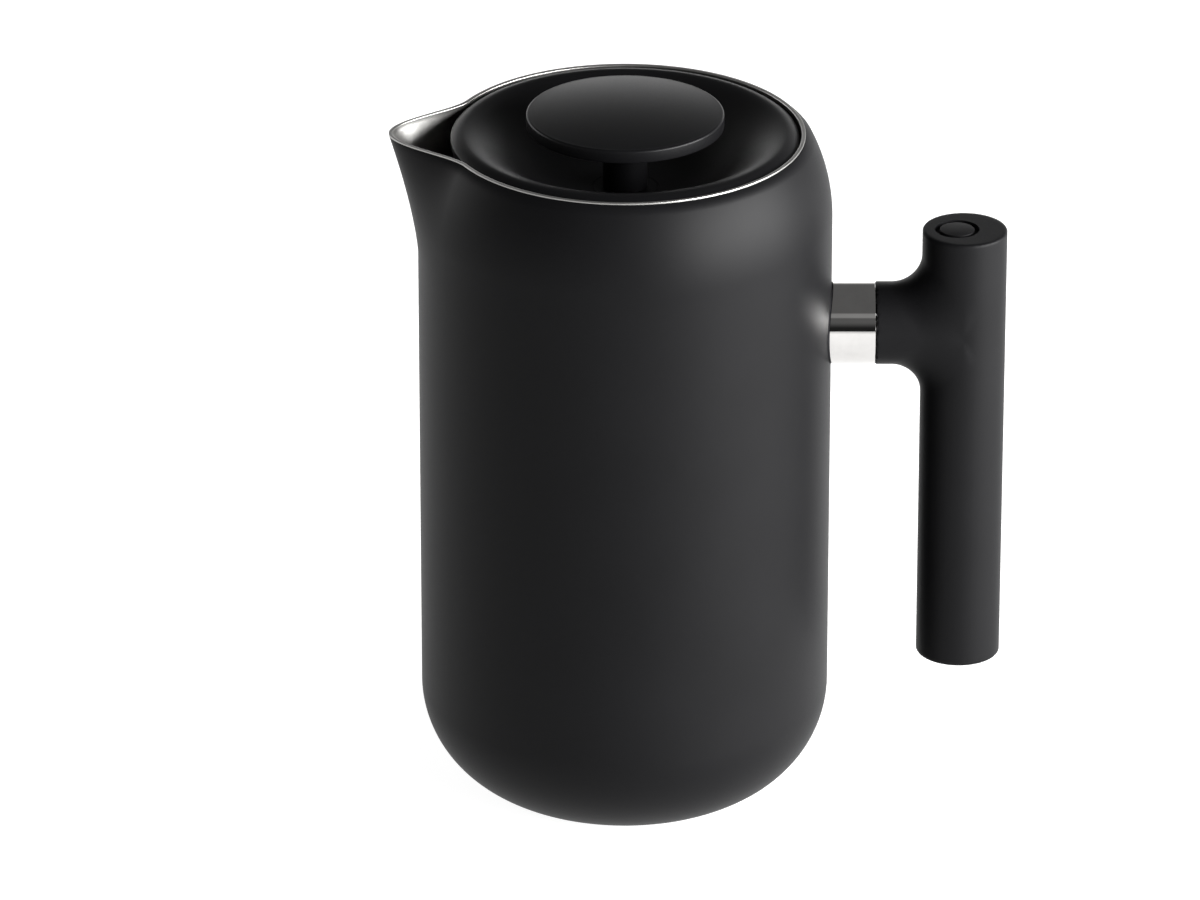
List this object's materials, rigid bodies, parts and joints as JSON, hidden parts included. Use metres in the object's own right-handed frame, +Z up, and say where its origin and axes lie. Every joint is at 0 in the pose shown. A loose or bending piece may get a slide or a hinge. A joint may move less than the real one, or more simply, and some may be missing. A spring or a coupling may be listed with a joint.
{
  "type": "french press",
  "caption": "Insulated press for coffee: double-walled steel vessel with a spout and a T-shaped handle, dished lid, and a plunger with a mushroom knob, rod and mesh filter.",
  "frame": {"origin": "on the vessel's axis, at the surface that the press stands on", "axes": "+Z up along the vessel's axis, +X towards the handle, -X towards the spout, +Y to the left when looking along +X"},
  "size_m": [0.149, 0.1, 0.179],
  "materials": {
    "matte_coating": "fine matt powder coat",
    "satin_steel": "satin",
    "plain_steel": "plain drawn",
    "polished_chrome": "mirror polished",
    "polished_rod": "polished",
    "woven_screen": "woven wire",
    "fastener_steel": "plated",
    "insert_brass": "turned",
    "grip_plastic": "fine matt texture",
    "lid_plastic": "satin",
    "knob_plastic": "fine matt texture",
    "natural_nylon": "plain",
    "silicone_black": "matt",
    "silicone_grey": "matt"
  },
  "bodies": {
    "vessel": {"outer_shell": "matte_coating", "inner_vessel": "satin_steel", "base_plate": "plain_steel", "vacuum_seal": "plain_steel", "base_pad": "silicone_grey", "handle_stud": "plain_steel", "stem_gasket": "silicone_black", "stem_sleeve": "polished_chrome", "stem_spacer": "natural_nylon", "grip": "grip_plastic", "grip_insert": "insert_brass", "grip_set_screw": "fastener_steel", "grip_core": "plain_steel", "grip_top_cap": "grip_plastic", "grip_end_cap": "grip_plastic"},
    "lid_seal": {"lid_gasket": "silicone_black"},
    "lid": {"lid_cover": "lid_plastic", "lid_skirt": "lid_plastic", "strainer_band": "satin_steel", "lid_underplate": "lid_plastic", "lid_screws": "fastener_steel"},
    "guide": {"rod_guide": "lid_plastic", "guide_clip": "fastener_steel"},
    "plunger": {"knob_top": "knob_plastic", "knob_base": "knob_plastic", "knob_insert": "insert_brass", "plunger_rod": "polished_rod", "filter_hub": "satin_steel", "filter_top_plate": "satin_steel", "mesh_screen": "woven_screen", "filter_seal": "silicone_black", "filter_bottom_plate": "satin_steel", "filter_nut": "fastener_steel"}
  },
  "joints": [
    {"name": "lid_lift", "type": "slide", "parent": "vessel", "child": "lid_seal", "axis": [0, 0, 1], "range_m": [0, 0.17]},
    {"name": "lid_turn", "type": "hinge", "parent": "lid_seal", "child": "lid", "pos_m": [0, 0, 0.16], "axis": [0, 0, 1], "continuous": true},
    {"name": "plunger_turn", "type": "hinge", "parent": "lid", "child": "guide", "pos_m": [0, 0, 0.155], "axis": [0, 0, 1], "continuous": true},
    {"name": "plunge", "type": "slide", "parent": "guide", "child": "plunger", "axis": [0, 0, 1], "range_m": [0, 0.11]}
  ]
}
